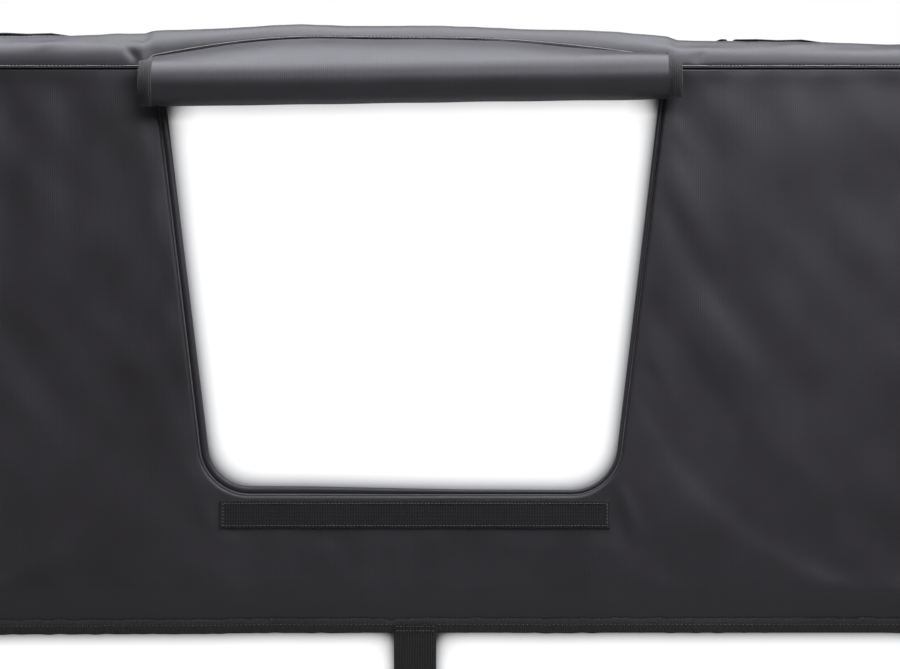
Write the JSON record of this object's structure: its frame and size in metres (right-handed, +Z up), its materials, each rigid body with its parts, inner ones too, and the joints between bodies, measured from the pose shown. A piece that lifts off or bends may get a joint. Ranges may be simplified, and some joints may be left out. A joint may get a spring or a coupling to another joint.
{
  "type": "tailgate bike pad",
  "caption": "Padded cover that hangs over a pickup tailgate, with straps for bicycle tubes, a roll-up flap over the handle opening and webbing straps under the tailgate.",
  "frame": {"origin": "middle of the flat underside of the top panel's lining, which rests on the tailgate's top edge", "axes": "+X along the tailgate to the right as seen from outside the truck, -Y out of the tailgate's outer face, +Z up"},
  "size_m": [1.3726, 0.1391, 0.6129],
  "materials": {
    "coated_cover": "coated polyester tarpaulin, satin",
    "foam": "closed-cell foam",
    "lining": "brushed lining, matte",
    "binding": "woven binding tape, matte",
    "piping": "coated piping, satin",
    "hook_and_loop": "brushed loop pile",
    "webbing": "ribbed woven webbing",
    "nylon": "moulded nylon, satin"
  },
  "bodies": {
    "root": {"front_cover": "coated_cover", "front_foam_left": "foam", "front_foam_right": "foam", "front_foam_lower": "foam", "front_lining": "lining", "rear_cover": "coated_cover", "rear_foam": "foam", "rear_lining": "lining", "top_cover": "coated_cover", "top_foam": "foam", "top_lining": "lining", "front_hem_binding": "binding", "rear_hem_binding": "binding", "end_binding_left": "binding", "end_binding_right": "binding", "opening_facing": "coated_cover", "opening_piping": "piping", "flap_loop_tape": "hook_and_loop", "flap_panel": "coated_cover", "flap_binding_left": "binding", "flap_binding_right": "binding", "flap_hook_tape": "hook_and_loop", "anchor_strap_left": "webbing", "anchor_strap_centre": "webbing", "anchor_strap_right": "webbing", "anchor_buckle_left": "nylon", "anchor_buckle_centre": "nylon", "anchor_buckle_right": "nylon", "buckle_tab_left": "webbing", "buckle_tab_centre": "webbing", "buckle_tab_right": "webbing", "bike_strap_1": "webbing", "bike_strap_2": "webbing", "bike_strap_3": "webbing", "bike_strap_4": "webbing", "bike_strap_5": "webbing", "bike_strap_6": "webbing", "ring_tab_1": "webbing", "ring_tab_2": "webbing", "ring_tab_3": "webbing", "ring_tab_4": "webbing", "ring_tab_5": "webbing", "ring_tab_6": "webbing", "strap_ring_1": "nylon", "strap_ring_2": "nylon", "strap_ring_3": "nylon", "strap_ring_4": "nylon", "strap_ring_5": "nylon", "strap_ring_6": "nylon"}
  },
  "joints": []
}
